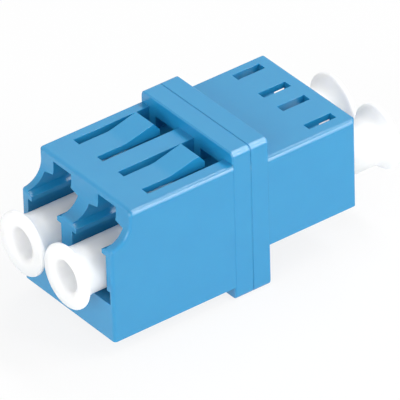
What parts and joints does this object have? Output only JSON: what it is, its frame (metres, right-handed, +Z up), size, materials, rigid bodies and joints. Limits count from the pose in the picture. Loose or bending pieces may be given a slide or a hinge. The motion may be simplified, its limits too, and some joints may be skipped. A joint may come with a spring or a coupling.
{
  "type": "duplex lc fibre adapter",
  "caption": "Blue duplex LC fibre optic adapter with moulded panel latches, a narrow collar, split sleeves inside and white dust caps in its ports.",
  "frame": {"origin": "centre of the box that holds the adapter and its seated caps, at the collar's underside", "axes": "+Y along the fibres from the latched half to the plain half, +X across the ports, +Z up through the latch side"},
  "size_m": [0.0128, 0.0337, 0.0149],
  "materials": {
    "housing": "moulded blue, satin gloss",
    "sleeve": "polished white zirconia ceramic",
    "cap": "soft translucent white"
  },
  "bodies": {
    "adapter": {"front_housing": "housing", "rear_housing": "housing", "split_sleeve_left": "sleeve", "split_sleeve_right": "sleeve"},
    "front_left_cap": {"dust_cap_front_left": "cap"},
    "front_right_cap": {"dust_cap_front_right": "cap"},
    "rear_left_cap": {"dust_cap_rear_left": "cap"},
    "rear_right_cap": {"dust_cap_rear_right": "cap"}
  },
  "joints": [
    {"name": "front_left_cap_pull", "type": "slide", "parent": "adapter", "child": "front_left_cap", "axis": [0, -1, 0], "range_m": [0, 0.0138]},
    {"name": "front_right_cap_pull", "type": "slide", "parent": "adapter", "child": "front_right_cap", "axis": [0, -1, 0], "range_m": [0, 0.0138]},
    {"name": "rear_left_cap_pull", "type": "slide", "parent": "adapter", "child": "rear_left_cap", "axis": [0, 1, 0], "range_m": [0, 0.0113]},
    {"name": "rear_right_cap_pull", "type": "slide", "parent": "adapter", "child": "rear_right_cap", "axis": [0, 1, 0], "range_m": [0, 0.0113]}
  ]
}
